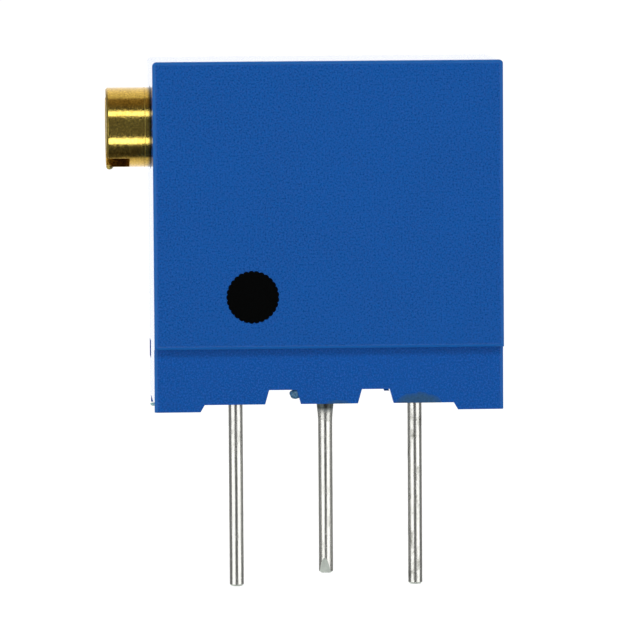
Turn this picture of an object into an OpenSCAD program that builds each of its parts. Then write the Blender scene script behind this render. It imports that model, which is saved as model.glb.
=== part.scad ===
// Multi-turn trimmer potentiometer, square body, adjusted from the side.
// A slotted brass worm screw turns a moulded worm wheel whose wiper sweeps a horseshoe resistor track.
// Frame: origin on the axis of the middle terminal, in the seating plane of the feet.
// +X runs away from the screw head, +Y to the back, +Z up. The front face looks along -Y.

/* [Housing] */
// Width of the body, across the side faces
body_w = 9.78; // [9.4:0.02:12]
// Wall of the cap at the left and right sides
wall_side = 0.6; // [0.4:0.05:0.8]
// Wall of the cap at the front
wall_front = 0.6; // [0.4:0.05:1.2]
// Wall of the cap at the back
wall_back = 0.5; // [0.3:0.05:1]
// Thickness of the cap's top wall
wall_top = 0.45; // [0.3:0.05:1.2]
// Width of the web above the left boss
left_web_w = 1.58; // [0.8:0.02:2]
// Width of the web above the right boss
right_web_w = 0.7; // [0.3:0.02:0.9]
// Width and depth of the rails that hold the substrate
rail_w = 0.3; // [0.2:0.02:0.4]
// Rounding of the cap's outer edges
edge_r = 0.12; // [0.05:0.01:0.25]
// Rounding of the cap's lower edge at the front and back
lip_r = 0.12; // [0.08:0.01:0.26]
// Distance that the cap's front stands proud of the base
step_in = 0.3; // [0.1:0.02:0.4]
// Distance that the cap's back stands proud of the base
back_step = 0.13; // [0.05:0.01:0.25]
// Distance that the cap's side faces stand proud of the base
side_step = 0; // [0:0.01:0.1]

/* [Base] */
// Height of the corner feet below the lands
foot_h = 0.2; // [0.1:0.02:0.5]
// Width of each corner foot along X
foot_w = 1.28; // [0.8:0.02:1.7]
// Depth of each corner foot along Y
foot_d = 1.0; // [0.6:0.05:1.5]
// Slope of a foot's inner side, along X
foot_slope = 0.12; // [0:0.02:0.3]
// Rise of the vent notches above the lands
notch_rise = 0.4; // [0.2:0.02:0.6]
// Width of a vent notch at its mouth
notch_w = 1.0; // [0.6:0.02:1.4]
// Width of a vent notch at its top
notch_top_w = 0.775; // [0.4:0.025:1]
// Offset of the vent notches from midway between two terminals
notch_shift = 0.03; // [0:0.01:0.1]
// Wall of the skirt around the potting well
skirt_t = 0.6; // [0.4:0.05:0.8]
// Depth of the sealing compound in the well
seal_t = 0.58; // [0.56:0.02:0.9]
// Gap between the top of the notches and the surface of the sealing compound
seal_lift = 0.02; // [0:0.01:0.2]
// Width of the compound's meniscus around a terminal
meniscus_w = 0.2; // [0.05:0.01:0.25]
// Thickness of the compound at the lower edge of a meniscus
meniscus_rim = 0.015; // [0.01:0.005:0.04]
// Thickness of the base's floor
floor_t = 0.3; // [0.2:0.05:1]
// Height of the shoulder that carries the cap, above the floor
shoulder_h = 0.27; // [0.1:0.01:0.6]
// Height of the tongue that centres the cap, above the shoulder
tongue_h = 0.42; // [0.2:0.02:0.8]
// Thickness of the tongue
tongue_t = 0.3; // [0.2:0.02:0.5]
// Depth of the prising pocket in the left side
pocket_depth = 0.25; // [0.1:0.05:0.4]
// Height of the prising pocket
pocket_h = 0.5; // [0.2:0.05:0.8]
// Length of the prising pocket
pocket_len = 1.2; // [0.6:0.05:2]
// Clearance between parts of the housing that slide together
fit_gap = 0.03; // [0.02:0.01:0.08]

/* [Terminals] */
// Distance between neighbouring terminals
pitch = 2.54; // [2.4:0.02:2.8]
// Diameter of a terminal's wire
pin_d = 0.41; // [0.35:0.01:0.55]
// Length of the outer terminals below the seating plane
pin_len = 5.15; // [2:0.05:12]
// Length of the middle terminal below the seating plane
pin_len_mid = 4.8; // [2:0.05:12]
// Bend radius on the centreline of the wire
bend_r = 0.3; // [0.25:0.01:0.4]
// Gap between the floor and the stretch of wire that runs back over it
jog_gap = 0.105; // [0.02:0.005:0.3]
// Length of the straight upper end that lies on the solder pad
riser_len = 0.4; // [0.3:0.02:0.5]
// Diameter of the anchor collar that keys the wire in the sealing compound
collar_d = 0.8; // [0.78:0.02:0.9]
// Length of the anchor collar
collar_t = 0.52; // [0.3:0.02:0.54]
// Gap between the anchor collar and the floor above it
collar_gap = 0.02; // [0.01:0.01:0.03]
// Chamfer at the cut end of the wire
tip_chamfer = 0.05; // [0.01:0.01:0.1]
// Height of the flat that the cutter left on the middle terminal's end
flat_h = 0.43; // [0.2:0.01:0.6]
// Depth of that flat at the end of the wire
flat_depth = 0.08; // [0.04:0.01:0.15]
// Turn of that flat from the front towards the screw
flat_turn = 14; // [0:1:45]
// Radial clearance around a terminal in the floor
pin_gap = 0.05; // [0.02:0.01:0.12]

/* [Adjustment screw] */
// Diameter of the screw head
head_d = 2.25; // [2:0.05:2.5]
// Length of the head that stands out of the left side
head_out = 1.25; // [0.5:0.05:2]
// Width of the screwdriver slot
slot_w = 0.6; // [0.3:0.05:0.9]
// Depth of the screwdriver slot
slot_depth = 0.65; // [0.3:0.05:1]
// Turn of the slot about the screw's axis, from the vertical
slot_turn = 26; // [0:1:180]
// Chamfer at the rim of the head
head_chamfer = 0.05; // [0.02:0.01:0.15]
// Radial clearance of the head in its bore
head_gap = 0.05; // [0.03:0.01:0.08]
// Wall of the bearing boss around the head
boss_wall = 0.4; // [0.25:0.05:0.5]
// Length of the bearing boss inside the left wall
boss_len = 1.35; // [1.2:0.05:1.5]
// Diameter of the journal at the screw's far end
journal_d = 1.0; // [0.8:0.02:1.05]
// Length of the right boss inside the cap
right_boss_len = 1.6; // [1:0.05:1.7]
// Radial clearance of the journal in its bore
journal_gap = 0.03; // [0.02:0.01:0.06]
// Axial play of the screw at each end
end_play = 0.05; // [0.02:0.01:0.1]
// Thickness of the thrust shoulder in front of the journal
thrust_t = 0.25; // [0.15:0.01:0.4]
// Space between the journal's end and the right wall
journal_room = 0.1; // [0.05:0.01:0.3]
// Distance of the sealing ring's groove behind the outer face
groove_in = 0.6; // [0.4:0.05:0.8]
// Cord diameter of the sealing ring
ring_cord = 0.455; // [0.35:0.005:0.5]
// Radial gap between the sealing ring and the bore
ring_gap = 0.02; // [0.01:0.005:0.05]
// Axial room of the sealing ring in its groove
ring_room = 0.1; // [0.04:0.02:0.2]
// Thickness of the retaining clip
clip_t = 0.2; // [0.15:0.01:0.25]
// Distance that the clip stands out beyond the bore
clip_reach = 0.2; // [0.1:0.02:0.3]
// Axial play of the clip in its groove
clip_play = 0.02; // [0.01:0.01:0.04]
// Radial gap between the clip and the bottom of its groove
clip_gap = 0.06; // [0.03:0.01:0.1]
// Width of the collar between the clip and the worm
clip_collar = 0.2; // [0.1:0.02:0.3]
// Gap between the clip and the cap's top wall
clip_room = 0.075; // [0.05:0.005:0.3]
// Mouth angle of the clip
clip_mouth = 80; // [50:1:110]

/* [Worm drive] */
// Number of teeth on the worm wheel
teeth = 28; // [24:1:32]
// Pitch radius of the worm wheel
wheel_r = 2.4; // [2.3:0.02:2.7]
// Pitch radius of the worm
worm_r = 0.75; // [0.72:0.01:0.82]
// Width of the toothed rim
face_w = 1.0; // [0.8:0.05:1.4]
// Pressure angle of the teeth
pressure = 20; // [16:1:22]
// Clearance on each flank
flank_gap = 0.03; // [0.02:0.005:0.04]
// Length of the threaded part of the worm
thread_len = 3.6; // [3:0.05:3.8]
// Screw turns from one stop to the other
screw_turns = 22; // [15:1:22]
// Gap between the wheel's tips and the terminals below
wheel_gap = 0.16; // [0.1:0.01:0.5]
// Radius of the wheel's stub shaft
stub_r = 0.6; // [0.5:0.02:0.7]
// Length of the wheel's stub shaft
stub_len = 0.7; // [0.5:0.05:0.9]
// Radial clearance of the stub shaft in its bearing
stub_gap = 0.03; // [0.02:0.01:0.06]
// Wall of the bearing boss around the stub shaft
bearing_wall = 0.37; // [0.2:0.01:0.45]
// Space between the wheel and the front wall
front_space = 1.35; // [1.2:0.05:1.6]
// Inner radius of the stop lug
lug_r_in = 1.2; // [1.16:0.02:1.4]
// Outer radius of the stop lug
lug_r_out = 2.0; // [1.8:0.02:2.1]
// Height of the stop lug on the wheel
lug_h = 0.45; // [0.3:0.05:0.8]
// Half angle of the stop lug
lug_half = 15; // [8:1:20]
// Angle left between lug and stop at the end of travel
stop_gap = 0.6; // [0.3:0.1:2]

/* [Resistor and wiper] */
// Space between the wheel and the substrate
wiper_space = 0.85; // [0.8:0.05:1.2]
// Thickness of the ceramic substrate
substrate_t = 0.6; // [0.4:0.05:0.8]
// Margin of the substrate above the track
substrate_margin = 0.12; // [0.05:0.01:0.3]
// Mean radius of the resistor track
track_r = 1.75; // [1.7:0.01:1.8]
// Width of the resistor track
track_w = 0.55; // [0.4:0.05:0.6]
// Track beyond each end of the wiper's travel
track_over = 3; // [1:0.5:4]
// Mean radius of the collector ring
collector_r = 0.75; // [0.7:0.01:0.85]
// Width of the collector ring
collector_w = 0.5; // [0.3:0.05:0.6]
// Thickness of the printed films
film_t = 0.03; // [0.02:0.005:0.05]
// Width of a solder pad
pad_w = 1.0; // [0.7:0.05:1.3]
// Height of a solder pad
pad_h = 1.0; // [0.8:0.05:1.1]
// Height of a pad's lower edge above the underside of the wires
pad_lift = 0.1; // [0.05:0.05:0.3]
// Angle that the conductor's end takes up beyond the track
film_tail = 7; // [5:0.5:9]
// Width of a conductor between a pad and the track
trace_w = 0.36; // [0.2:0.02:0.5]
// Radius of a solder joint
solder_r = 0.34; // [0.3:0.01:0.38]
// Distance of a solder joint's centre below the wire's upper end
solder_drop = 0.25; // [0.15:0.05:0.35]
// Drop of the wiper plate's lower edge below the wheel's axis
plate_low = 1.4; // [1.2:0.05:1.5]
// Drop of the wiper plate's upper edge below the wheel's axis
plate_high = 0.25; // [0.2:0.05:0.4]
// Thickness of the wiper's sheet
wiper_t = 0.07; // [0.04:0.01:0.1]
// Width of one wiper finger
finger_w = 0.16; // [0.1:0.01:0.2]
// Distance between neighbouring fingers
finger_pitch = 0.25; // [0.22:0.01:0.26]
// Height over which a finger stays flat on the wheel
finger_root = 0.3; // [0.1:0.05:0.4]
// Depth of a finger's curled tip
finger_curl = 0.15; // [0.1:0.01:0.2]
// Length of a finger's curled tip
finger_tip = 0.22; // [0.1:0.02:0.24]
// Gap between the wiper and the films it sweeps
contact_gap = 0.02; // [0.01:0.005:0.03]
// Radius of the stakes that hold the wiper
stake_r = 0.12; // [0.08:0.01:0.14]
// Height of a stake above the wiper
stake_head = 0.06; // [0.02:0.01:0.1]
// Distance of each stake from the wheel's middle, along X
stake_x = 0.38; // [0.3:0.02:0.42]
// Drop of the stakes below the wheel's axis
stake_drop = 0.95; // [0.7:0.05:1.1]
// Radial clearance of a stake in the wiper
stake_gap = 0.02; // [0.01:0.005:0.04]

/* [Hidden] */
$fn = 64;
// Overshoot of cutting bodies
cut = 0.5;
// Depth that a joined body reaches into its neighbour
bury = 0.1;

// Colours
body_blue = [0.09, 0.32, 0.61];
base_blue = [0.08, 0.31, 0.60];
resin_blue = [0.10, 0.26, 0.42];
brass = [0.80, 0.62, 0.25];
tin = [0.78, 0.78, 0.76];
steel = [0.62, 0.63, 0.65];
rubber = [0.12, 0.12, 0.13];
wheel_white = [0.90, 0.89, 0.84];
ceramic = [0.93, 0.93, 0.90];
resistor_black = [0.13, 0.12, 0.13];
silver = [0.75, 0.74, 0.70];
spring_gold = [0.84, 0.70, 0.42];

// Heights of the base, from the seating plane up
notch_top_z = foot_h + notch_rise;
seal_z = notch_top_z + seal_lift;
floor_z = seal_z + seal_t;
chamber_z = floor_z + floor_t;
shoulder_z = chamber_z + shoulder_h;
tongue_z = shoulder_z + tongue_h;

// Wire of the terminals
pin_r = pin_d / 2;
collar_z = floor_z - collar_gap - collar_t;
jog_z = chamber_z + jog_gap + pin_r;

// Teeth of the worm drive
module_mm = 2 * wheel_r / teeth;
lead = PI * module_mm;
addendum = module_mm;
dedendum = 1.2 * module_mm;
tip_r = wheel_r + addendum;
root_r = wheel_r - dedendum;
base_circle_r = wheel_r * cos(pressure);
tooth_w = lead / 2 - flank_gap;
crest_r = worm_r + addendum;
core_r = worm_r - dedendum;
lead_angle = atan(lead / (2 * PI * worm_r));
tooth_twist = face_w * tan(lead_angle) / wheel_r * 180 / PI;
travel = screw_turns * 360 / teeth;

// Places of the wheel and the screw
wheel_z = jog_z + pin_r + wheel_gap + tip_r;
screw_z = wheel_z + wheel_r + worm_r;
head_r = head_d / 2;
bore_r = head_r + head_gap;
clip_r = bore_r + clip_reach;
cavity_top = screw_z + clip_r + clip_room;
body_h = cavity_top + wall_top;

// Depths, with the wheel's middle plane at zero
wheel_front = -face_w / 2;
wheel_back = face_w / 2;
cavity_front = wheel_front - front_space;
substrate_front = wheel_back + wiper_space;
cavity_back = substrate_front + substrate_t;
body_front = cavity_front - wall_front;
body_back = cavity_back + wall_back;
body_t = body_back - body_front;
body_mid = (body_front + body_back) / 2;

// Housing
cavity_x = body_w / 2 - wall_side;
base_half = body_w / 2 - side_step;
base_front = body_front + step_in;
base_back = body_back - back_step;
well_x = base_half - skirt_t;
chamber_x = cavity_x - fit_gap - tongue_t;
notch_x = pitch / 2 + notch_shift;

// Stations along the screw
left_face = -body_w / 2;
boss_r = bore_r + boss_wall;
boss_x = -cavity_x + boss_len;
clip_x = boss_x + end_play;
clip_slot = clip_t + clip_play;
neck_x = clip_x + clip_slot + clip_collar;
right_boss_x = cavity_x - right_boss_len;
shoulder_x = right_boss_x - end_play;
journal_r = journal_d / 2;
journal_end = cavity_x - journal_room;
ring_r = bore_r - ring_gap - ring_cord / 2;
groove_r = ring_r - ring_cord / 2;
groove_w = ring_cord + ring_room;
groove_x = left_face + groove_in;
clip_bore = groove_r + clip_gap;

// Bearing and stop of the wheel
bearing_end = wheel_front - end_play;
bearing_r = stub_r + stub_gap;
stop_half = 180 - travel / 2 - lug_half - stop_gap;

// Substrate and films
film_face = substrate_front - film_t;
riser_y = film_face - pin_r;
substrate_half = cavity_x - fit_gap;
substrate_top = wheel_z + track_r + track_w / 2 + substrate_margin;
riser_top = jog_z + bend_r + riser_len;
pad_z = jog_z - pin_r + pad_lift;
solder_z = riser_top - solder_drop;
track_half = travel / 2 + track_over;
film_end = track_half + film_tail;

// Wiper, from the wheel's axis
wiper_half = 2 * finger_pitch + finger_w / 2;

// Helpers

// Rectangle centred on the origin, with round corners
module round_rect(w, h, r) {
    square([w - 2 * r, h], center = true);
    square([w, h - 2 * r], center = true);
    for (sx = [-1, 1], sy = [-1, 1])
        translate([sx * (w / 2 - r), sy * (h / 2 - r)])
            circle(r);
}

// Rectangle centred on the origin, with its lower corners rounded by low_r and its upper ones by r
module lipped_rect(w, h, r, low_r) {
    translate([0, (low_r - r) / 2]) square([w, h - r - low_r], center = true);
    translate([r - w / 2, 0]) square([w - 2 * r, h / 2]);
    translate([low_r - w / 2, -h / 2]) square([w - 2 * low_r, h / 2]);
    for (side = [-1, 1]) {
        translate([side * (w / 2 - r), h / 2 - r]) circle(r);
        translate([side * (w / 2 - low_r), low_r - h / 2]) circle(low_r);
    }
}

// Block with round edges, from three crossing prisms. The lower edges at the front and back are
// rounded by low_r, and those at the sides are sharp.
module lipped_block(w, d, h, r, low_r) {
    intersection() {
        linear_extrude(height = h, center = true) round_rect(w, d, r);
        translate([0, 0, -h / 2]) rotate([90, 0, 0])
            linear_extrude(height = d, center = true) round_rect(w, 2 * h, r);
        rotate([90, 0, 90]) linear_extrude(height = w, center = true) lipped_rect(d, h, r, low_r);
    }
}

// Box between two corners
module span(low, high) {
    translate(low) cube(high - low);
}

// Cylinder along X on the screw's axis
module rod_x(x0, x1, r) {
    translate([x0, 0, screw_z]) rotate([0, 90, 0]) cylinder(h = x1 - x0, r = r);
}

// Cylinder along Y, placed from the wheel's centre
module rod_y(x, z, y0, y1, r) {
    translate([x, y0, wheel_z + z]) rotate([-90, 0, 0]) cylinder(h = y1 - y0, r = r);
}

// Ring segment about the wheel's axis; angles run clockwise from the top, seen from the front
module dial_sector(r_in, r_out, from, to, y0, y1) {
    translate([0, 0, wheel_z]) rotate([-90, 0, 0]) rotate([0, 0, from - 90])
        rotate_extrude(angle = to - from)
            translate([r_in, y0])
                square([r_out - r_in, y1 - y0]);
}

// Flat bar on the substrate between two points of the XZ plane
module film_bar(a, b, w) {
    along = b - a;
    translate([a[0], film_face, a[1]])
        rotate([0, -atan2(along[1], along[0]), 0])
            translate([0, 0, -w / 2])
                cube([norm(along), film_t, w]);
}

// Worm drive

// Involute function of the flank at radius r, in degrees
function involute(r) = let (a = acos(min(1, base_circle_r / r))) tan(a) * 180 / PI - a;

// Half of a tooth's angle at radius r
function half_tooth(r) =
    tooth_w / 2 / wheel_r * 180 / PI + involute(wheel_r) - involute(max(r, base_circle_r));

// One point of a flank; side is -1 or 1
function flank_point(middle, side, r) =
    let (a = middle + side * half_tooth(r)) [r * cos(a), r * sin(a)];

// Radii at which the flank is drawn, from root to tip
flank_radii = [
    root_r,
    base_circle_r,
    (base_circle_r + tip_r) / 2,
    tip_r
];
flank_last = len(flank_radii) - 1;

// Outline of the toothed rim, with a tooth space at the top
function wheel_outline() = [
    for (i = [0 : teeth - 1])
        let (middle = -90 + (i + 0.5) * 360 / teeth)
            each concat(
                [for (k = [0 : flank_last]) flank_point(middle, -1, flank_radii[k])],
                [for (k = [flank_last : -1 : 0]) flank_point(middle, 1, flank_radii[k])]
            )
];

// Half of the thread's axial width at radius r
function half_thread(r) = tooth_w / 2 - (r - worm_r) * tan(pressure);

// Steps of the sweep for each turn of the thread
thread_steps = 16;
thread_turns = floor(thread_len / lead);
thread_rings = thread_turns * thread_steps;
thread_foot_r = core_r - bury / 2;
// Share of the thread's height at its very ends
thread_start = 0.1;

// Height factor of the thread, which runs out over the last half turn at both ends
function run_out(i) = min(1, 2 * i / thread_steps, 2 * (thread_rings - i) / thread_steps);

// The four corners of the thread's section at step i
function thread_ring(i) =
    let (
        turn = i / thread_steps - thread_turns / 2,
        a = 360 * turn - 90,
        x = lead * turn,
        top_r = thread_foot_r + (crest_r - thread_foot_r) * max(thread_start, run_out(i)),
        foot = half_thread(thread_foot_r),
        top = half_thread(top_r)
    )
    [
        [x - foot, thread_foot_r * cos(a), thread_foot_r * sin(a)],
        [x - top, top_r * cos(a), top_r * sin(a)],
        [x + top, top_r * cos(a), top_r * sin(a)],
        [x + foot, thread_foot_r * cos(a), thread_foot_r * sin(a)]
    ];

// Right-handed worm thread, swept along its helix
module worm_thread() {
    points = [for (i = [0 : thread_rings]) each thread_ring(i)];
    sides = [
        for (i = [0 : thread_rings - 1], k = [0 : 3])
            let (p = 4 * i + k, q = 4 * i + (k + 1) % 4)
                each [[p, q, q + 4], [p, q + 4, p + 4]]
    ];
    last = 4 * thread_rings;
    ends = [[3, 2, 1, 0], [last, last + 1, last + 2, last + 3]];
    translate([0, 0, screw_z]) polyhedron(points, concat(sides, ends));
}

// Toothed rim with helical teeth that follow the worm's lead
module toothed_rim() {
    translate([0, 0, wheel_z]) rotate([-90, 0, 0]) rotate([0, 0, -tooth_twist / 2])
        linear_extrude(height = face_w, center = true, twist = -tooth_twist, slices = 1)
            polygon(wheel_outline());
}

// Housing

module cap_shell() {
    mid_z = (shoulder_z + body_h) / 2;
    difference() {
        translate([0, body_mid, mid_z])
            lipped_block(body_w, body_t, body_h - shoulder_z, edge_r, lip_r);
        span([-cavity_x, cavity_front, shoulder_z - cut], [cavity_x, cavity_back, cavity_top]);
    }
}

// Rail that holds the substrate against the back wall
module substrate_rail(side) {
    x0 = side > 0 ? cavity_x - rail_w : -cavity_x;
    span(
        [x0, substrate_front - fit_gap - rail_w, tongue_z + fit_gap],
        [x0 + rail_w, substrate_front - fit_gap, substrate_top]
    );
}

module cap() {
    color(body_blue)
    difference() {
        union() {
            cap_shell();
            rod_x(-cavity_x, boss_x, boss_r);
            span([-cavity_x, -left_web_w / 2, screw_z], [boss_x, left_web_w / 2, cavity_top]);
            rod_x(right_boss_x, cavity_x, journal_r + journal_gap + boss_wall);
            span([right_boss_x, -right_web_w / 2, screw_z], [cavity_x, right_web_w / 2, cavity_top]);
            rod_y(0, 0, cavity_front, bearing_end, bearing_r + bearing_wall);
            dial_sector(lug_r_in, lug_r_out, 180 - stop_half, 180 + stop_half, cavity_front, bearing_end);
            for (side = [-1, 1]) substrate_rail(side);
        }
        rod_x(left_face - cut, boss_x + cut, bore_r);
        rod_x(right_boss_x - cut, cavity_x, journal_r + journal_gap);
        rod_y(0, 0, bearing_end - stub_len, wheel_front, bearing_r);
        span(
            [-cavity_x, substrate_front - fit_gap, shoulder_z - cut],
            [cavity_x, cavity_back, substrate_top + fit_gap]
        );
    }
}

// Space under the lands, between the corner feet
module foot_relief() {
    inner = body_w / 2 - foot_w;
    translate([0, base_back + cut, 0]) rotate([90, 0, 0])
        linear_extrude(height = base_back - base_front + 2 * cut)
            polygon([
                [-inner, 0], [-inner + foot_slope, foot_h], [inner - foot_slope, foot_h], [inner, 0],
                [inner, -cut], [-inner, -cut]
            ]);
    span(
        [-base_half - cut, base_front + foot_d, -cut],
        [base_half + cut, base_back - foot_d, foot_h]
    );
}

// Vent notches between the terminals, through the front and back skirts
module vent_notches() {
    for (side = [-1, 1])
        translate([side * notch_x, base_back + cut, 0]) rotate([90, 0, 0])
            linear_extrude(height = base_back - base_front + 2 * cut)
                polygon([
                    [-notch_w / 2, foot_h - cut], [-notch_w / 2, foot_h],
                    [-notch_top_w / 2, notch_top_z], [notch_top_w / 2, notch_top_z],
                    [notch_w / 2, foot_h], [notch_w / 2, foot_h - cut]
                ]);
}

module well(low, high) {
    span([-well_x, base_front + skirt_t, low], [well_x, base_back - skirt_t, high]);
}

module base() {
    mid_y = (base_front + base_back) / 2;
    tongue_front = cavity_front + fit_gap;
    color(base_blue)
    difference() {
        union() {
            translate([0, mid_y, 0])
                linear_extrude(height = shoulder_z)
                    round_rect(2 * base_half, base_back - base_front, edge_r);
            span(
                [-cavity_x + fit_gap, tongue_front, chamber_z],
                [cavity_x - fit_gap, substrate_front - fit_gap - rail_w, tongue_z]
            );
        }
        span(
            [-chamber_x, tongue_front + tongue_t, chamber_z],
            [chamber_x, cavity_back + fit_gap, tongue_z + cut]
        );
        span(
            [-cavity_x, substrate_front - fit_gap, chamber_z],
            [cavity_x, cavity_back + fit_gap, shoulder_z + cut]
        );
        well(-cut, floor_z);
        foot_relief();
        vent_notches();
        span(
            [-base_half - cut, base_back - edge_r - pocket_len, shoulder_z - pocket_h],
            [-base_half + pocket_depth, base_back - edge_r, shoulder_z + cut]
        );
        for (i = [-1 : 1])
            translate([i * pitch, 0, 0]) cylinder(h = chamber_z + cut, r = pin_r + pin_gap);
    }
}

module epoxy_seal() {
    color(resin_blue)
    difference() {
        union() {
            well(seal_z, floor_z);
            for (i = [-1 : 1])
                translate([i * pitch, 0, foot_h])
                    cylinder(
                        h = seal_z - foot_h + bury, r1 = pin_r + meniscus_rim, r2 = pin_r + meniscus_w
                    );
        }
        for (i = [-1 : 1]) terminal_wire(i);
    }
}

// Terminals

// Quarter bend of the wire in the YZ plane, about a centre that lies along X
module wire_bend(y, z, start) {
    translate([0, y, z]) rotate([90, 0, 90]) rotate([0, 0, start])
        rotate_extrude(angle = 90)
            translate([bend_r, 0])
                circle(pin_r);
}

// Straight wire along Z, with an anchor collar, two bends and an upper end on the pad
module terminal_wire(i) {
    tail = i == 0 ? pin_len_mid : pin_len;
    translate([i * pitch, 0, 0]) {
        translate([0, 0, tip_chamfer - tail])
            cylinder(h = tail - tip_chamfer + jog_z - bend_r, r = pin_r);
        translate([0, 0, -tail])
            cylinder(h = tip_chamfer, r1 = pin_r - tip_chamfer, r2 = pin_r);
        translate([0, 0, collar_z])
            cylinder(h = collar_t, r = collar_d / 2);
        wire_bend(bend_r, jog_z - bend_r, 90);
        translate([0, bend_r, jog_z]) rotate([-90, 0, 0])
            cylinder(h = riser_y - 2 * bend_r, r = pin_r);
        wire_bend(riser_y - bend_r, jog_z + bend_r, 270);
        translate([0, riser_y, jog_z + bend_r])
            cylinder(h = riser_top - jog_z - bend_r, r = pin_r);
    }
}

// Wedge that the cutter took off the front of the middle terminal's end
module cutter_wedge() {
    translate([0, 0, -pin_len_mid]) rotate([90, 0, 90 - flat_turn])
        linear_extrude(height = pin_d, center = true)
            polygon([
                [flat_depth - pin_r, 0], [-pin_r - flat_depth, 2 * flat_h], [-pin_d, 2 * flat_h],
                [-pin_d, -cut], [flat_depth - pin_r, -cut]
            ]);
}

module terminal(i) {
    color(tin)
    difference() {
        terminal_wire(i);
        if (i == 0) cutter_wedge();
    }
}

module solder_joint(i) {
    color(silver)
    difference() {
        translate([i * pitch, riser_y, solder_z]) sphere(solder_r);
        terminal_wire(i);
        span(
            [i * pitch - 2 * solder_r, film_face, solder_z - 2 * solder_r],
            [i * pitch + 2 * solder_r, film_face + 2 * solder_r, solder_z + 2 * solder_r]
        );
    }
}

// Screw

module adjustment_screw() {
    head_end = left_face - head_out;
    color(brass)
    difference() {
        union() {
            translate([head_end, 0, screw_z]) rotate([0, 90, 0])
                cylinder(h = head_chamfer, r1 = head_r - head_chamfer, r2 = head_r);
            rod_x(head_end + head_chamfer, groove_x, head_r);
            rod_x(groove_x, groove_x + groove_w, groove_r);
            rod_x(groove_x + groove_w, clip_x, head_r);
            rod_x(clip_x, clip_x + clip_slot, groove_r);
            rod_x(clip_x + clip_slot, neck_x, crest_r);
            rod_x(neck_x, shoulder_x - thrust_t, core_r);
            rod_x(shoulder_x - thrust_t, shoulder_x, crest_r);
            rod_x(shoulder_x, journal_end, journal_r);
            worm_thread();
        }
        translate([head_end, 0, screw_z]) rotate([-slot_turn, 0, 0])
            span([-cut, -slot_w / 2, -head_d], [slot_depth, slot_w / 2, head_d]);
    }
}

module o_ring() {
    color(rubber)
    translate([groove_x + groove_w / 2, 0, screw_z]) rotate([0, 90, 0])
        rotate_extrude()
            translate([ring_r, 0])
                circle(ring_cord / 2);
}

module screw_clip() {
    color(steel)
    translate([clip_x + clip_play / 2, 0, screw_z]) rotate([0, 90, 0]) rotate([0, 0, clip_mouth / 2])
        rotate_extrude(angle = 360 - clip_mouth)
            translate([clip_bore, 0])
                square([clip_r - clip_bore, clip_t]);
}

// Wheel and wiper

module worm_wheel() {
    color(wheel_white)
    union() {
        toothed_rim();
        rod_y(0, 0, bearing_end - stub_len + end_play, 0, stub_r);
        dial_sector(lug_r_in, lug_r_out, -lug_half, lug_half, wheel_front - lug_h, 0);
        for (side = [-1, 1])
            rod_y(side * stake_x, -stake_drop, 0, wheel_back + wiper_t + stake_head, stake_r);
    }
}

// Sprung finger that rises from the plate to touch a film at height contact_z
module wiper_finger(x, contact_z) {
    top = film_face - contact_gap - wiper_t;
    tip = top - finger_curl;
    low_z = -plate_high - bury;
    bend_z = -plate_high + finger_root;
    end_z = contact_z + finger_tip;
    translate([x - finger_w / 2, 0, wheel_z]) rotate([90, 0, 90])
        linear_extrude(height = finger_w)
            polygon([
                [wheel_back, low_z], [wheel_back, bend_z], [top, contact_z], [tip, end_z],
                [tip + wiper_t, end_z], [top + wiper_t, contact_z],
                [wheel_back + wiper_t, bend_z], [wheel_back + wiper_t, low_z]
            ]);
}

module wiper() {
    color(spring_gold)
    difference() {
        union() {
            span(
                [-wiper_half, wheel_back, wheel_z - plate_low],
                [wiper_half, wheel_back + wiper_t, wheel_z - plate_high]
            );
            for (i = [-2 : 2])
                let (x = i * finger_pitch)
                    wiper_finger(x, i == 0 ? collector_r : sqrt(track_r * track_r - x * x));
        }
        for (side = [-1, 1])
            rod_y(side * stake_x, -stake_drop, 0, wheel_back + cut, stake_r + stake_gap);
    }
}

// Resistor element

module substrate() {
    color(ceramic)
    span([-substrate_half, substrate_front, chamber_z], [substrate_half, cavity_back, substrate_top]);
}

// Part of the track's ring between two angles
module track_sector(from, to) {
    dial_sector(
        track_r - track_w / 2, track_r + track_w / 2, from, to, film_face, substrate_front
    );
}

module resistor_track() {
    color(resistor_black) track_sector(-track_half, track_half);
}

// Solder pad at terminal i
module pad(i) {
    span(
        [i * pitch - pad_w / 2, film_face, pad_z],
        [i * pitch + pad_w / 2, substrate_front, pad_z + pad_h]
    );
}

module collector() {
    color(silver)
    union() {
        dial_sector(
            collector_r - collector_w / 2, collector_r + collector_w / 2, 0, 360,
            film_face, substrate_front
        );
        film_bar([0, wheel_z - collector_r], [0, pad_z + pad_h / 2], trace_w);
        pad(0);
    }
}

// Conductor from the outer pad on one side to that end of the track
module end_pad(side) {
    middle = (track_half + film_end) / 2;
    from = side > 0 ? track_half : -film_end;
    joint = [side * track_r * sin(middle), wheel_z + track_r * cos(middle)];
    color(silver)
    difference() {
        union() {
            track_sector(from, from + film_end - track_half);
            film_bar(joint, [side * pitch, pad_z + pad_h - trace_w / 2], trace_w);
            pad(side);
        }
        track_sector(-track_half, track_half);
    }
}

cap();
base();
epoxy_seal();
adjustment_screw();
o_ring();
screw_clip();
worm_wheel();
wiper();
substrate();
resistor_track();
collector();
end_pad(-1);  // end_pad_1
end_pad(1);  // end_pad_3
terminal(-1);  // terminal_1
terminal(0);  // terminal_2
terminal(1);  // terminal_3
solder_joint(-1);  // solder_joint_1
solder_joint(0);  // solder_joint_2
solder_joint(1);  // solder_joint_3
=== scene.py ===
"""Looks of a square multi-turn trimmer potentiometer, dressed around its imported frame.

Lengths are in metres. The front face looks along -Y, the screw head along -X and the terminals
point down, as in the frame.
"""

import math

import bpy
from mathutils import Matrix, Vector


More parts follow.
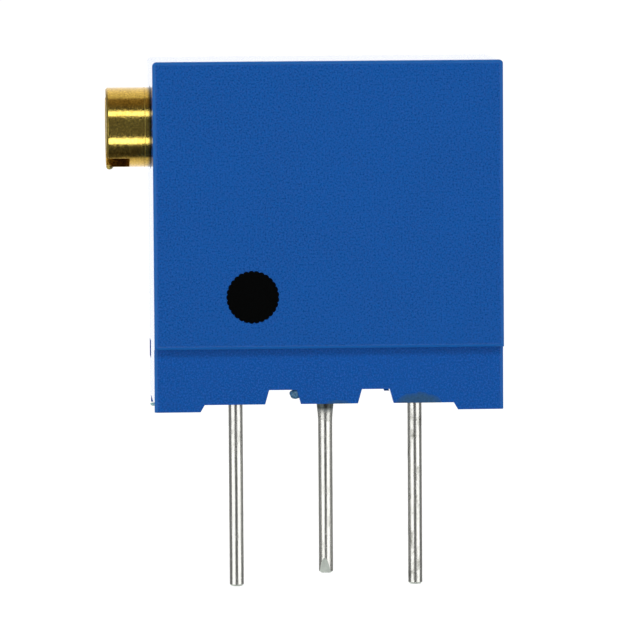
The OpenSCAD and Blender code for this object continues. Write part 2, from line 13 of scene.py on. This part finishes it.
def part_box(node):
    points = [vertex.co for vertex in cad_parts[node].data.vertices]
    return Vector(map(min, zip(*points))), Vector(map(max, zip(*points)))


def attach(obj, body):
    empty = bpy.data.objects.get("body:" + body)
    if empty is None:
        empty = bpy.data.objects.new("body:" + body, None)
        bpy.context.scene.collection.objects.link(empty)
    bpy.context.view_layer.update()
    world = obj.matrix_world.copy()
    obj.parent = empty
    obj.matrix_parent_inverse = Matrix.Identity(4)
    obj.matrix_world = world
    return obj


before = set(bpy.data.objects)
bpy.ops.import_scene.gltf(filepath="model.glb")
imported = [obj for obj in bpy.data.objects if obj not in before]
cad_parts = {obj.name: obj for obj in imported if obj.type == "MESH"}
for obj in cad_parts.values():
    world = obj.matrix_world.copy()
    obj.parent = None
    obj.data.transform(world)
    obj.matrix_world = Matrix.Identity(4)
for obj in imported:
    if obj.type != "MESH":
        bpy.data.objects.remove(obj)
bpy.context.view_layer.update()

MM = 0.001
scene = bpy.context.scene
scene.view_settings.view_transform = "Standard"

# Places taken from the frame
cap_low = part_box("cap")[0]
screw_low, screw_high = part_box("adjustment_screw")
screw_axis_z = (screw_low.z + screw_high.z) / 2
head_r = (screw_high.z - screw_low.z) / 2
side_x = cap_low.x
face_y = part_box("base")[0].y
floor_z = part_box("terminal_1")[0].z

# Sizes of the part that no box of the frame shows: height of the lands, and radius of a wire
LAND_Z = 0.2 * MM
WIRE_R = 0.205 * MM

# Point near the housing's middle, about which the camera and the lamps are placed
AIM = Vector((0, 0, 5.0 * MM))

# Colours of the two mouldings
CAP_BLUE = (0.0018, 0.080, 0.337)
BASE_BLUE = (0.0015, 0.079, 0.342)


# Material graphs

def shade(colour, factor):
    """The colour, darker or lighter by a factor."""
    return tuple(channel * factor for channel in colour)


class Tree:
    """A node tree, with short calls for the nodes that materials, floor and world share."""

    # Colour sockets of a mix node, by number because its other sockets have the same names
    MIX_FIRST = 6
    MIX_SECOND = 7
    MIX_RESULT = 2

    def __init__(self, tree):
        self.nodes = tree.nodes
        self.links = tree.links

    def set(self, socket, value):
        """Joins an output to the socket, or sets a constant there."""
        if isinstance(value, bpy.types.NodeSocket):
            self.links.new(value, socket)
        elif isinstance(value, tuple) and socket.type == "RGBA":
            socket.default_value = (*value, 1.0)
        else:
            socket.default_value = value

    def node(self, kind, **inputs):
        """A new node, with its inputs set by name."""
        made = self.nodes.new(kind)
        for name, value in inputs.items():
            self.set(made.inputs[name.replace("_", " ")], value)
        return made

    def spread(self, value, low, high, start=0.3, end=0.7):
        """value between start and end, mapped to low and high."""
        made = self.node(
            "ShaderNodeMapRange", Value=value, From_Min=start, From_Max=end, To_Min=low, To_Max=high
        )
        return made.outputs["Result"]

    def blend(self, factor, first, second):
        """Colour that goes from first to second as factor goes from 0 to 1."""
        made = self.node("ShaderNodeMix")
        made.data_type = "RGBA"
        self.set(made.inputs["Factor"], factor)
        self.set(made.inputs[self.MIX_FIRST], first)
        self.set(made.inputs[self.MIX_SECOND], second)
        return made.outputs[self.MIX_RESULT]

    def mottled(self, pattern, colour, darkest, lightest):
        """The colour, varied between two factors by a noise."""
        return self.blend(self.spread(pattern, 0.0, 1.0), shade(colour, darkest), shade(colour, lightest))

    def scaled(self, colour, factor):
        """Colour output times a value."""
        made = self.node("ShaderNodeVectorMath", Vector=colour)
        made.operation = "SCALE"
        self.set(made.inputs["Scale"], factor)
        return made.outputs["Vector"]

    def maths(self, operation, first, second=0.0):
        """Output of one operation on one or two values."""
        made = self.node("ShaderNodeMath")
        made.operation = operation
        self.set(made.inputs[0], first)
        self.set(made.inputs[1], second)
        return made.outputs["Value"]

    def distance(self, value, middle):
        """How far a value is from the middle one."""
        return self.maths("ABSOLUTE", self.maths("SUBTRACT", value, middle))

    def axes(self, vector):
        """The X, Y and Z outputs of a vector."""
        return self.node("ShaderNodeSeparateXYZ", Vector=vector).outputs

    def grey_ramp(self, value, stops):
        """Grey level by value, from (position, level) stops."""
        made = self.node("ShaderNodeValToRGB", Fac=value)
        elements = made.color_ramp.elements
        while len(elements) < len(stops):
            elements.new(0.5)
        for element, (position, level) in zip(elements, stops):
            element.position = position
            element.color = (level, level, level, 1.0)
        return made.outputs["Color"]


class Finish(Tree):
    """One material: its node tree, its shader, and the place and normal in the object's own axes."""

    EDGE_SAMPLES = 4

    def __init__(self, name, colour, roughness, metallic=0.0, specular=0.5):
        self.material = bpy.data.materials.new(name)
        self.material.use_nodes = True
        super().__init__(self.material.node_tree)
        self.shader = self.nodes["Principled BSDF"]
        self.colour(colour)
        self.roughness(roughness)
        self.metallic(metallic)
        self.set(self.shader.inputs["Specular IOR Level"], specular)
        coordinates = self.node("ShaderNodeTexCoord")
        self.place = coordinates.outputs["Object"]
        self.facing = coordinates.outputs["Normal"]

    def noise(self, size, detail=3.0, stretch=(1.0, 1.0, 1.0), roughness=0.55):
        """Soft noise whose features are about size metres across."""
        mapped = self.node("ShaderNodeMapping", Vector=self.place)
        mapped.inputs["Scale"].default_value = stretch
        made = self.node(
            "ShaderNodeTexNoise", Vector=mapped.outputs["Vector"], Scale=1 / size, Detail=detail,
            Roughness=roughness,
        )
        return made.outputs["Fac"]

    def colour(self, value):
        """Gives the shader its colour, as a constant or an output."""
        self.set(self.shader.inputs["Base Color"], value)

    def roughness(self, value):
        """Gives the shader its roughness, as a constant or an output."""
        self.set(self.shader.inputs["Roughness"], value)

    def metallic(self, value):
        """Gives the shader its share of metal, as a constant or an output."""
        self.set(self.shader.inputs["Metallic"], value)

    def bump(self, *layers, edge=0.0):
        """Relief from layers of (height output, depth in metres), over edges softened by edge."""
        normal = None
        if edge:
            softened = self.node("ShaderNodeBevel", Radius=edge)
            softened.samples = self.EDGE_SAMPLES
            normal = softened.outputs["Normal"]
        for height, depth in layers:
            made = self.node("ShaderNodeBump", Height=height, Strength=1.0, Distance=depth)
            if normal is not None:
                self.set(made.inputs["Normal"], normal)
            normal = made.outputs["Normal"]
        self.set(self.shader.inputs["Normal"], normal)


def moulded_blue(name, colour, roughness):
    """Moulded thermoset: speckled grain, faint clouds, a painted highlight in paler blue on the round
    edges, and smooth narrow faces.
    """
    green_blue = (0.0, *colour[1:])
    purple_blue = (0.01, *colour[1:])
    pale_blue = shade(colour, 1.3)
    # Paler blue painted on the round edges as a highlight
    painted_highlight_blue = (0.004, 0.116, 0.43)
    grain_size = 0.05 * MM
    tint_size = 0.06 * MM
    cloud_size = 1.8 * MM
    grain_depth = 0.0008 * MM
    cloud_depth = 0.004 * MM
    smooth = 0.12
    edge_roughness = 0.4
    # Stops by how far a surface faces the front or the back, from 0 on the narrow sides to 1; the first
    # stops place the painted highlight on the round edges, the others set the roughness
    highlight_stops = ((0.0, 0.0), (0.15, 0.0), (0.3, 1.0), (0.85, 1.0), (0.95, 0.0), (1.0, 0.0))
    sheen_stops = (
        (0.0, smooth), (0.02, smooth), (0.12, edge_roughness), (0.9, edge_roughness), (0.98, roughness), (1.0, roughness)
    )
    finish = Finish(name, colour, roughness, specular=0.2)
    grain = finish.noise(grain_size, detail=3.0, roughness=0.7)
    tint = finish.noise(tint_size, detail=2.0, roughness=0.6)
    clouds = finish.noise(cloud_size, detail=2.0)
    tinted = finish.blend(finish.spread(tint, 0.0, 1.0, start=0.35, end=0.65), green_blue, purple_blue)
    grained = finish.scaled(tinted, finish.spread(grain, 0.45, 1.6, start=0.22, end=0.78))
    clouded = finish.blend(finish.spread(clouds, 0.0, 0.16), grained, pale_blue)
    front = finish.maths("ABSOLUTE", finish.axes(finish.facing)["Y"])
    # Painted highlight: surfaces that face partly front and partly aside, which are the round edges, turn
    # paler blue
    edges = finish.grey_ramp(front, highlight_stops)
    finish.colour(finish.blend(edges, clouded, painted_highlight_blue))
    sheen = finish.grey_ramp(front, sheen_stops)
    finish.roughness(finish.maths("MULTIPLY", sheen, finish.spread(grain, 0.9, 1.15)))
    finish.bump((clouds, cloud_depth), (grain, grain_depth))
    return finish.material


def turned_brass():
    """Yellow brass: turning marks, a scored ring, stains, a matt end, painted shade next to the bore, and
    painted shade above and below the axis height.
    """
    colour = (0.62, 0.46, 0.105)
    stain = (0.44, 0.27, 0.04)
    # Darker, browner brass painted above and below the axis height, as shade
    off_axis_shade_brass = (0.5, 0.31, 0.05)
    # Near-black colour painted where the head meets the bore, as shade between the parts
    painted_root_shade = (0.04, 0.035, 0.02)
    end_roughness = 0.5
    scored_roughness = 0.42
    # The brass is bright near the height of the screw's axis, and painted darker and browner further above
    # and below, as shade
    bright_half = 0.5 * MM
    shade_half = 0.7 * MM
    # Where the painted shade next to the bore begins, and where it is full
    root_shade_start = side_x - 0.1 * MM
    root_shade_full = side_x - 0.02 * MM
    ring_x = side_x - 0.17 * MM
    ring_half = 0.014 * MM
    turning_size = 0.05 * MM
    turning_depth = 0.0008 * MM
    speckle_size = 0.07 * MM
    speckle_depth = 0.001 * MM
    stain_size = 0.4 * MM
    finish = Finish("screw_brass", colour, 0.2, metallic=1.0)
    turning = finish.noise(turning_size, detail=2.0, stretch=(1.0, 0.15, 0.15))
    speckle = finish.noise(speckle_size, detail=3.0, roughness=0.75)
    stains = finish.noise(stain_size, detail=3.0)
    stained = finish.blend(finish.spread(stains, 0.0, 0.5, start=0.45, end=0.75), colour, stain)
    x, _, z = finish.axes(finish.place)
    off_axis = finish.distance(z, screw_axis_z)
    # Painted shade: darker, browner brass further from the height of the axis
    off_axis_shaded = finish.blend(finish.spread(off_axis, 0.0, 0.8, bright_half, shade_half), stained, off_axis_shade_brass)
    # Painted shade: the brass darkens towards the wall where the head enters the bore
    root_shade = finish.spread(x, 0.0, 0.9, root_shade_start, root_shade_full)
    root_shaded = finish.blend(root_shade, off_axis_shaded, painted_root_shade)
    finish.colour(finish.scaled(root_shaded, finish.spread(speckle, 0.6, 1.35)))
    end = finish.spread(finish.axes(finish.facing)["X"], end_roughness, 0.0, start=-0.9, end=-0.3)
    off_ring = finish.distance(x, ring_x)
    scored = finish.spread(off_ring, scored_roughness, 0.0, 0.5 * ring_half, ring_half)
    marred = finish.maths("MAXIMUM", scored, end)
    finish.roughness(finish.maths("MAXIMUM", finish.spread(speckle, 0.13, 0.22), marred))
    finish.bump((speckle, speckle_depth), (turning, turning_depth), edge=0.02 * MM)
    return finish.material


def tinned(name, worn):
    """Bright tin on drawn wire: lengthwise marks, darker scuffs by worn, and dull cut ends."""
    colour = (0.72, 0.72, 0.68)
    scuffed_tin = (0.2, 0.2, 0.16)
    cut_metal = (0.62, 0.67, 0.61)
    cut_roughness = 0.45
    mark_size = 0.05 * MM
    mark_depth = 0.001 * MM
    scuff_size = 0.28 * MM
    scuff_depth = 0.0025 * MM
    finish = Finish(name, colour, 0.24, metallic=1.0)
    draw_marks = finish.noise(mark_size, detail=3.0, stretch=(1.0, 1.0, 0.04))
    scuffs = finish.noise(scuff_size, detail=5.0, stretch=(1.0, 1.0, 0.5), roughness=0.7)
    marked = finish.mottled(draw_marks, colour, 0.88, 1.08)
    scuffed = finish.blend(finish.spread(scuffs, 0.0, worn, start=0.55, end=0.68), marked, scuffed_tin)
    cut = finish.spread(finish.axes(finish.facing)["Z"], 1.0, 0.0, start=-0.16, end=-0.1)
    clipped = finish.scaled(cut_metal, finish.spread(scuffs, 0.8, 1.2))
    finish.colour(finish.blend(cut, scuffed, clipped))
    drawn_sheen = finish.spread(scuffs, 0.2, 0.34, start=0.45, end=0.7)
    finish.roughness(finish.maths("MAXIMUM", drawn_sheen, finish.maths("MULTIPLY", cut, cut_roughness)))
    finish.bump((scuffs, scuff_depth), (draw_marks, mark_depth), edge=0.015 * MM)
    return finish.material


def cast_resin():
    """Glossy teal casting resin with fine bubbles."""
    colour = (0.012, 0.07, 0.15)
    cloud_size = 0.5 * MM
    cloud_depth = 0.01 * MM
    bubble_size = 0.06 * MM
    bubble_depth = 0.002 * MM
    finish = Finish("sealing_resin", colour, 0.18)
    clouds = finish.noise(cloud_size, detail=3.0)
    bubbles = finish.noise(bubble_size, detail=1.0)
    finish.colour(finish.mottled(clouds, colour, 0.7, 1.5))
    finish.roughness(finish.spread(bubbles, 0.12, 0.3))
    finish.bump((clouds, cloud_depth), (bubbles, bubble_depth))
    return finish.material


def smoky_resin():
    """Dark resin on the middle wire, with a black wedge at the front, that thins out to bare tin."""
    colour = (0.085, 0.11, 0.1)
    wedge_black = (0.012, 0.012, 0.01)
    bare_tin = (0.7, 0.7, 0.66)
    wedge_x = 0.015 * MM
    wedge_half = 0.09 * MM
    wedge_top = -0.03 * MM
    wedge_tip = -0.17 * MM
    wedge_blur = 0.05 * MM
    film_top = -0.06 * MM
    film_end = -0.21 * MM
    film_wave = 0.08 * MM
    cloud_size = 0.12 * MM
    cloud_depth = 0.0015 * MM
    finish = Finish("smoky_resin", colour, 0.22)
    clouds = finish.noise(cloud_size, detail=4.0)
    x, _, z = finish.axes(finish.place)
    width = finish.spread(z, 0.0, wedge_half, wedge_tip, wedge_top)
    inside = finish.maths("SUBTRACT", width, finish.distance(x, wedge_x))
    clouded = finish.mottled(clouds, colour, 0.6, 1.5)
    wedged = finish.blend(finish.spread(inside, 0.0, 0.9, 0.0, wedge_blur), clouded, wedge_black)
    film_edge = finish.maths("ADD", z, finish.maths("MULTIPLY", clouds, film_wave))
    bare = finish.spread(film_edge, 1.0, 0.0, film_end, film_top)
    finish.colour(finish.blend(bare, wedged, bare_tin))
    finish.metallic(bare)
    finish.roughness(finish.spread(clouds, 0.2, 0.3))
    finish.bump((clouds, cloud_depth))
    return finish.material


def speckled(name, colour, roughness, grain_size, contrast, metallic=0.0, specular=0.5, edge=0.0):
    """A finish that varies about one colour, with grain of one size."""
    grain_depth = 0.002 * MM
    finish = Finish(name, colour, roughness, metallic=metallic, specular=specular)
    grain = finish.noise(grain_size, detail=4.0)
    finish.colour(finish.mottled(grain, colour, 1 - contrast, 1 + contrast))
    finish.roughness(finish.spread(grain, roughness - 0.05, roughness + 0.08))
    finish.bump((grain, grain_depth), edge=edge)
    return finish.material


def dried_film():
    """Dried compound on the base's front: grey blue where it is thick, and clear at its thin rim."""
    colour = (0.022, 0.084, 0.195)
    thick = 0.0095 * MM
    grain_size = 0.06 * MM
    grain_depth = 0.002 * MM
    finish = Finish("dried_resin", colour, 0.4, specular=0.2)
    grain = finish.noise(grain_size, detail=4.0)
    clouded = finish.mottled(grain, colour, 0.75, 1.25)
    depth = finish.spread(finish.axes(finish.place)["Y"], 1.0, 0.0, face_y - thick, face_y)
    finish.colour(finish.blend(depth, BASE_BLUE, clouded))
    finish.bump((grain, grain_depth))
    return finish.material


def rolled(name, colour, roughness):
    """Rolled or stamped sheet metal, with marks along its length."""
    mark_size = 0.04 * MM
    mark_depth = 0.001 * MM
    finish = Finish(name, colour, roughness, metallic=1.0)
    marks = finish.noise(mark_size, detail=3.0, stretch=(1.0, 1.0, 0.05))
    finish.colour(finish.mottled(marks, colour, 0.88, 1.08))
    finish.roughness(finish.spread(marks, roughness - 0.06, roughness + 0.08))
    finish.bump((marks, mark_depth), edge=0.01 * MM)
    return finish.material


tin = tinned("tinned_wire", worn=0.3)
silver_film = speckled(
    "conductor_film", (0.62, 0.6, 0.54), roughness=0.35, grain_size=0.03 * MM, contrast=0.15, metallic=1.0
)
solder = speckled(
    "solder", (0.6, 0.6, 0.58), roughness=0.3, grain_size=0.12 * MM, contrast=0.12, metallic=1.0
)
FINISHES = {
    "cap": moulded_blue("housing_blue", CAP_BLUE, roughness=0.28),
    "base": moulded_blue("base_blue", BASE_BLUE, roughness=0.26),
    "epoxy_seal": cast_resin(),
    "adjustment_screw": turned_brass(),
    "o_ring": speckled(
        "ring_rubber", (0.02, 0.02, 0.022), roughness=0.55, grain_size=0.05 * MM, contrast=0.25
    ),
    "screw_clip": rolled("clip_steel", (0.55, 0.56, 0.58), roughness=0.3),
    "worm_wheel": speckled(
        "wheel_plastic", (0.78, 0.76, 0.68), roughness=0.42, grain_size=0.15 * MM, contrast=0.05,
        edge=0.02 * MM,
    ),
    "wiper": rolled("wiper_alloy", (0.72, 0.55, 0.3), roughness=0.25),
    "substrate": speckled(
        "ceramic", (0.85, 0.85, 0.8), roughness=0.6, grain_size=0.04 * MM, contrast=0.05,
        edge=0.02 * MM,
    ),
    "resistor_track": speckled(
        "resistor_film", (0.02, 0.018, 0.02), roughness=0.5, grain_size=0.03 * MM, contrast=0.35
    ),
    "collector": silver_film,
    "end_pad_1": silver_film,
    "end_pad_3": silver_film,
    "terminal_1": tin,
    "terminal_2": tin,
    "terminal_3": tinned("worn_tinned_wire", worn=0.8),
    "solder_joint_1": solder,
    "solder_joint_2": solder,
    "solder_joint_3": solder,
}

for name, material in FINISHES.items():
    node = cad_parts[name]
    node.data.materials.clear()
    node.data.materials.append(material)


# Small pieces

def piece_of(name, vertices, faces, material, body, smooth=True):
    """A mesh piece that rides on a body of the frame."""
    mesh = bpy.data.meshes.new(name)
    mesh.from_pydata(vertices, [], faces)
    mesh.update()
    mesh.materials.append(material)
    for polygon in mesh.polygons:
        polygon.use_smooth = smooth
    made = bpy.data.objects.new(name, mesh)
    scene.collection.objects.link(made)
    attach(made, body)


def ring_faces(steps, rings):
    """Side faces between closed rings of vertices that follow each other, and caps at both ends."""
    faces = []
    for ring in range(rings - 1):
        for step in range(steps):
            here = ring * steps + step
            beside = ring * steps + (step + 1) % steps
            faces.append((here, beside, beside + steps, here + steps))
    last = (rings - 1) * steps
    return faces + [tuple(reversed(range(steps))), tuple(range(last, last + steps))]


def printed_dot():
    """A round spot of ink with a scalloped rim, as a row of round drops leaves it."""
    centre_x = -2.14 * MM
    centre_z = 3.23 * MM
    radius = 0.74 * MM
    drop_r = 0.095 * MM
    drop_pitch = 0.14 * MM
    points_a_drop = 8
    ink_t = 0.006 * MM
    # Rings from back to front: height over the cap in thicknesses of the ink, and share of the radius
    profile = ((-0.5, 1.0), (0.6, 1.0), (1.0, 0.975))
    row_r = radius - drop_r
    drops = round(2 * math.pi * row_r / drop_pitch)
    steps = drops * points_a_drop
    vertices = []
    for height, share in profile:
        for step in range(steps):
            aside = (step % points_a_drop / points_a_drop - 0.5) * 2 * math.pi / drops
            reach = row_r * math.cos(aside) + math.sqrt(drop_r**2 - (row_r * math.sin(aside))**2)
            angle = 2 * math.pi * step / steps
            vertices.append((
                centre_x + share * reach * math.cos(angle),
                cap_low.y - height * ink_t,
                centre_z + share * reach * math.sin(angle),
            ))
    ink = speckled(
        "print_ink", (0.001, 0.0012, 0.0012), roughness=0.6, grain_size=0.05 * MM, contrast=0.5,
        specular=0.02,
    )
    faces = ring_faces(steps, len(profile))
    piece_of("printed_dot", vertices, faces, ink, "housing", smooth=False)


def face_smear(name, material, left, right, top, proud, phase):
    """A dried smear on the base's front: a low dome, cut off straight along the edge of the land.

    u runs from -1 at its left end to 1 at its right end, v from 0 at the land to 1 at its upper rim.
    """
    columns = 28
    rows = 8
    buried = 0.004 * MM
    bluntness = 0.6
    last_u = 0.985
    broad_wave, broad_rate = 0.07, 9
    fine_wave, fine_rate = 0.04, 23
    middle = (left + right) / 2
    half = (right - left) / 2

    def layer(depth_of):
        """Points of one side of the smear, which stands out by depth_of(u, v)."""
        points = []
        for column in range(columns + 1):
            u = last_u * (2 * column / columns - 1)
            broad = broad_wave * math.sin(broad_rate * u + phase)
            fine = fine_wave * math.sin(fine_rate * u + 2 * phase)
            reach = (top - LAND_Z) * (1 - u * u)**bluntness * (1 + broad + fine)
            for row in range(rows + 1):
                v = row / rows
                points.append((middle + u * half, face_y - depth_of(u, v), LAND_Z + v * reach))
        return points

    vertices = layer(lambda u, v: proud * math.sqrt((1 - u * u) * (1 - v * v)))
    vertices += layer(lambda u, v: -buried)
    stride = rows + 1
    back = (columns + 1) * stride
    faces = []
    for column in range(columns):
        for row in range(rows):
            here = column * stride + row
            behind = back + here
            faces.append((here, here + stride, here + stride + 1, here + 1))
            faces.append((behind, behind + 1, behind + stride + 1, behind + stride))

    # Once round the outline, to join the dome to its flat back
    rim = [column * stride for column in range(columns + 1)]
    rim += [columns * stride + row for row in range(1, stride)]
    rim += [column * stride + rows for column in range(columns - 1, -1, -1)]
    rim += [row for row in range(rows - 1, 0, -1)]
    for here, following in zip(rim, rim[1:] + rim[:1]):
        faces.append((following, here, back + here, back + following))
    piece_of(name, vertices, faces, material, "housing")


def bead(name, centre, radii, material, body, uneven=0.12):
    """A small lump: a round drop with uneven sides, stretched along the axes."""
    steps = 32
    rings = 15
    lobes = 3
    twist = 2.5
    lobe_start = 0.6
    vertices = []
    for ring in range(rings):
        tilt = math.pi * (ring + 0.5) / rings
        for step in range(steps):
            angle = 2 * math.pi * step / steps
            wave = math.sin(lobes * angle + twist * math.cos(tilt) + lobe_start)
            swell = 1 + uneven * math.sin(tilt) * wave
            vertices.append((
                centre[0] + radii[0] * swell * math.sin(tilt) * math.cos(angle),
                centre[1] + radii[1] * swell * math.sin(tilt) * math.sin(angle),
                centre[2] - radii[2] * math.cos(tilt),
            ))
    piece_of(name, vertices, ring_faces(steps, rings), material, body)


def resin_collar():
    """Dark resin that has crept down the middle wire, with an uneven lower edge."""
    steps = 48
    # Height, and thickness over the wire, in millimetres: from round the seal's meniscus down to
    # where the resin runs out in the wire
    profile = (
        (0.3, 0.062), (0.2, 0.054), (0.1, 0.046), (0.0, 0.037), (-0.1, 0.028), (-0.2, 0.019), (-0.3, 0.01),
        (-0.4, 0.003), (-0.5, -0.002), (-0.55, -0.01),
    )
    broad_droop = 0.03
    fine_droop = 0.01
    vertices = []
    for row, (z, proud) in enumerate(profile):
        r = WIRE_R + proud * MM
        for step in range(steps):
            angle = 2 * math.pi * step / steps
            droop = broad_droop * math.sin(2 * angle + 0.4) + fine_droop * math.sin(5 * angle)
            fall = z + droop * row / (len(profile) - 1)
            vertices.append((r * math.cos(angle), r * math.sin(angle), fall * MM))
    faces = ring_faces(steps, len(profile))
    piece_of("resin_collar", vertices, faces, smoky_resin(), "housing")


def drop_in_notch():
    """A drop of compound in the left notch."""
    centre = (-0.955 * MM, face_y + 0.1 * MM, 0.47 * MM)
    radii = (0.16 * MM, 0.1 * MM, 0.135 * MM)
    compound = speckled(
        "drop_resin", (0.045, 0.14, 0.25), roughness=0.3, grain_size=0.08 * MM, contrast=0.45
    )
    bead("drop_in_notch", centre, radii, compound, "housing")


def nub_on_left_side():
    """A pale moulding nub low on the base's left side."""
    centre = (side_x, -1.3 * MM, 0.17 * MM)
    radii = (0.1 * MM, 0.08 * MM, 0.05 * MM)
    flash = speckled(
        "flash", (0.3, 0.55, 0.54), roughness=0.35, grain_size=0.05 * MM, contrast=0.25
    )
    bead("nub_on_left_side", centre, radii, flash, "housing")


def burr_on_slot():
    """A rough burr at the lower end of the screw's slot, which turns with the screw."""
    centre = (screw_low.x + 0.085 * MM, -0.22 * MM, screw_axis_z - head_r + 0.01 * MM)
    radii = (0.085 * MM, 0.05 * MM, 0.065 * MM)
    torn_brass = speckled(
        "burr_brass", (0.75, 0.58, 0.16), roughness=0.5, grain_size=0.03 * MM, contrast=0.4,
        metallic=1.0,
    )
    bead("burr_on_slot", centre, radii, torn_brass, "screw", uneven=0.2)


printed_dot()
resin_collar()
dried_resin = dried_film()
face_smear(
    "smear_over_terminal_3", dried_resin,
    left=1.85 * MM, right=3.16 * MM, top=0.5 * MM, proud=0.012 * MM, phase=0.5,
)
face_smear(
    "smear_by_terminal_2", dried_resin,
    left=-0.12 * MM, right=0.6 * MM, top=0.31 * MM, proud=0.008 * MM, phase=2.0,
)
drop_in_notch()
nub_on_left_side()
burr_on_slot()


# Studio: floor, soft boxes, surroundings and camera

def floor():
    """Plain paper floor that the terminals' ends touch.

    The camera sees it glow, so only a faint soft shadow stays on it, and no reflection shows it.
    """
    reach = 3.0
    paper_colour = (0.8, 0.8, 0.8)
    faint_colour = (0.2, 0.2, 0.2)
    glow_strength = 0.93
    mesh = bpy.data.meshes.new("floor")
    corners = [(-reach, -reach), (reach, -reach), (reach, reach), (-reach, reach)]
    mesh.from_pydata([(x, y, floor_z) for x, y in corners], [], [(0, 1, 2, 3)])
    made = bpy.data.objects.new("floor", mesh)
    scene.collection.objects.link(made)
    material = bpy.data.materials.new("floor_paper")
    material.use_nodes = True
    tree = Tree(material.node_tree)
    tree.nodes.clear()
    from_camera = tree.node("ShaderNodeLightPath").outputs["Is Camera Ray"]
    paper = tree.node("ShaderNodeBsdfDiffuse", Color=paper_colour)
    faint_paper = tree.node("ShaderNodeBsdfDiffuse", Color=faint_colour)
    glow = tree.node("ShaderNodeEmission", Strength=glow_strength)
    seen = tree.node("ShaderNodeAddShader")
    tree.set(seen.inputs[0], faint_paper.outputs[0])
    tree.set(seen.inputs[1], glow.outputs[0])
    pick = tree.node("ShaderNodeMixShader")
    tree.set(pick.inputs[0], from_camera)
    tree.set(pick.inputs[1], paper.outputs[0])
    tree.set(pick.inputs[2], seen.outputs[0])
    tree.node("ShaderNodeOutputMaterial", Surface=pick.outputs[0])
    mesh.materials.append(material)
    made.visible_glossy = False
    made.visible_shadow = False


def soft_box(name, azimuth, elevation, width, height, radiance):
    """Rectangular lamp that faces the object; angles are from the front, in degrees."""
    distance = 0.4
    side, up = math.radians(azimuth), math.radians(elevation)
    away = Vector((math.sin(side) * math.cos(up), -math.cos(side) * math.cos(up), math.sin(up)))
    lamp = bpy.data.lights.new(name, "AREA")
    lamp.shape = "RECTANGLE"
    lamp.size = 2 * distance * math.tan(math.radians(width / 2))
    lamp.size_y = 2 * distance * math.tan(math.radians(height / 2))
    lamp.energy = radiance * math.pi * lamp.size * lamp.size_y
    made = bpy.data.objects.new(name, lamp)
    made.location = AIM + away * distance
    made.rotation_mode = "QUATERNION"
    made.rotation_quaternion = away.to_track_quat("Z", "Y")
    made.visible_camera = False
    scene.collection.objects.link(made)


def surroundings():
    """White sweep behind the object and a dim room with a warm ceiling in front, by direction.

    In mirror-like surfaces the sweep is a narrow one, with dark cards beside it, so that the wires
    keep dark outlines.
    """
    white = (1.0, 1.0, 1.0)
    dark_card = (0.18, 0.18, 0.18)
    warm_ceiling = (0.31, 0.24, 0.15)
    front_wall = (0.14, 0.14, 0.14)
    side_wall = (0.06, 0.06, 0.06)
    brightest = 1.4
    world = bpy.data.worlds.new("studio")
    scene.world = world
    world.use_nodes = True
    tree = Tree(world.node_tree)
    tree.nodes.clear()
    direction = tree.node("ShaderNodeTexCoord").outputs["Generated"]
    path = tree.node("ShaderNodeLightPath").outputs
    x, y, z = tree.axes(direction)
    walls = tree.blend(tree.spread(y, 0.0, 1.0, start=-0.88, end=-0.8), front_wall, side_wall)
    room = tree.blend(tree.spread(z, 0.0, 1.0, start=0.82, end=1.0), walls, warm_ceiling)
    sweep = tree.blend(tree.spread(y, 0.0, 1.0, start=0.04, end=0.12), room, white)
    beside = tree.spread(tree.maths("ABSOLUTE", x), 0.0, 1.0, start=0.42, end=0.55)
    mirrored = tree.blend(beside, sweep, dark_card)
    lit = tree.blend(path["Is Glossy Ray"], sweep, mirrored)
    shown = tree.blend(path["Is Camera Ray"], lit, white)
    gleam = tree.spread(y, 1.0, brightest, start=0.1, end=0.6)
    strength = tree.spread(path["Is Glossy Ray"], 1.0, gleam, start=0.0, end=1.0)
    background = tree.node("ShaderNodeBackground", Color=shown, Strength=strength)
    tree.node("ShaderNodeOutputWorld", Surface=background.outputs[0])


def camera():
    """Camera fitted to the photograph's perspective.

    The part is seen turned by yaw, pitch and roll, and shift is how far it then lies off the middle
    of the picture.
    """
    distance = 164.05 * MM
    yaw, pitch, roll = (math.radians(angle) for angle in (3.322, 4.425, -0.361))
    shift = Vector((0.1103 * MM, 0, 2.6072 * MM))
    turn = Matrix.Rotation(roll, 3, "Y") @ Matrix.Rotation(pitch, 3, "X") @ Matrix.Rotation(yaw, 3, "Z")
    back = turn.transposed()
    lens = bpy.data.cameras.new("camera")
    lens.lens = 326.3
    lens.sensor_width = 36
    lens.clip_start = 0.001
    lens.clip_end = 10
    made = bpy.data.objects.new("camera", lens)
    scene.collection.objects.link(made)
    axes = Matrix((back @ Vector((1, 0, 0)), back @ Vector((0, 0, 1)), back @ Vector((0, -1, 0))))
    place = AIM + back @ (Vector((0, -distance, 0)) - shift)
    made.matrix_world = Matrix.Translation(place) @ axes.transposed().to_4x4()
    scene.camera = made


floor()
soft_box("top_box", azimuth=0, elevation=42.3, width=124, height=14, radiance=3.45)
soft_box("low_box", azimuth=0, elevation=-38, width=30, height=16.5, radiance=3.4)
soft_box("left_box", azimuth=-47, elevation=0, width=52, height=34, radiance=1.4)
soft_box("right_box", azimuth=47, elevation=0, width=52, height=34, radiance=1.4)
surroundings()
camera()
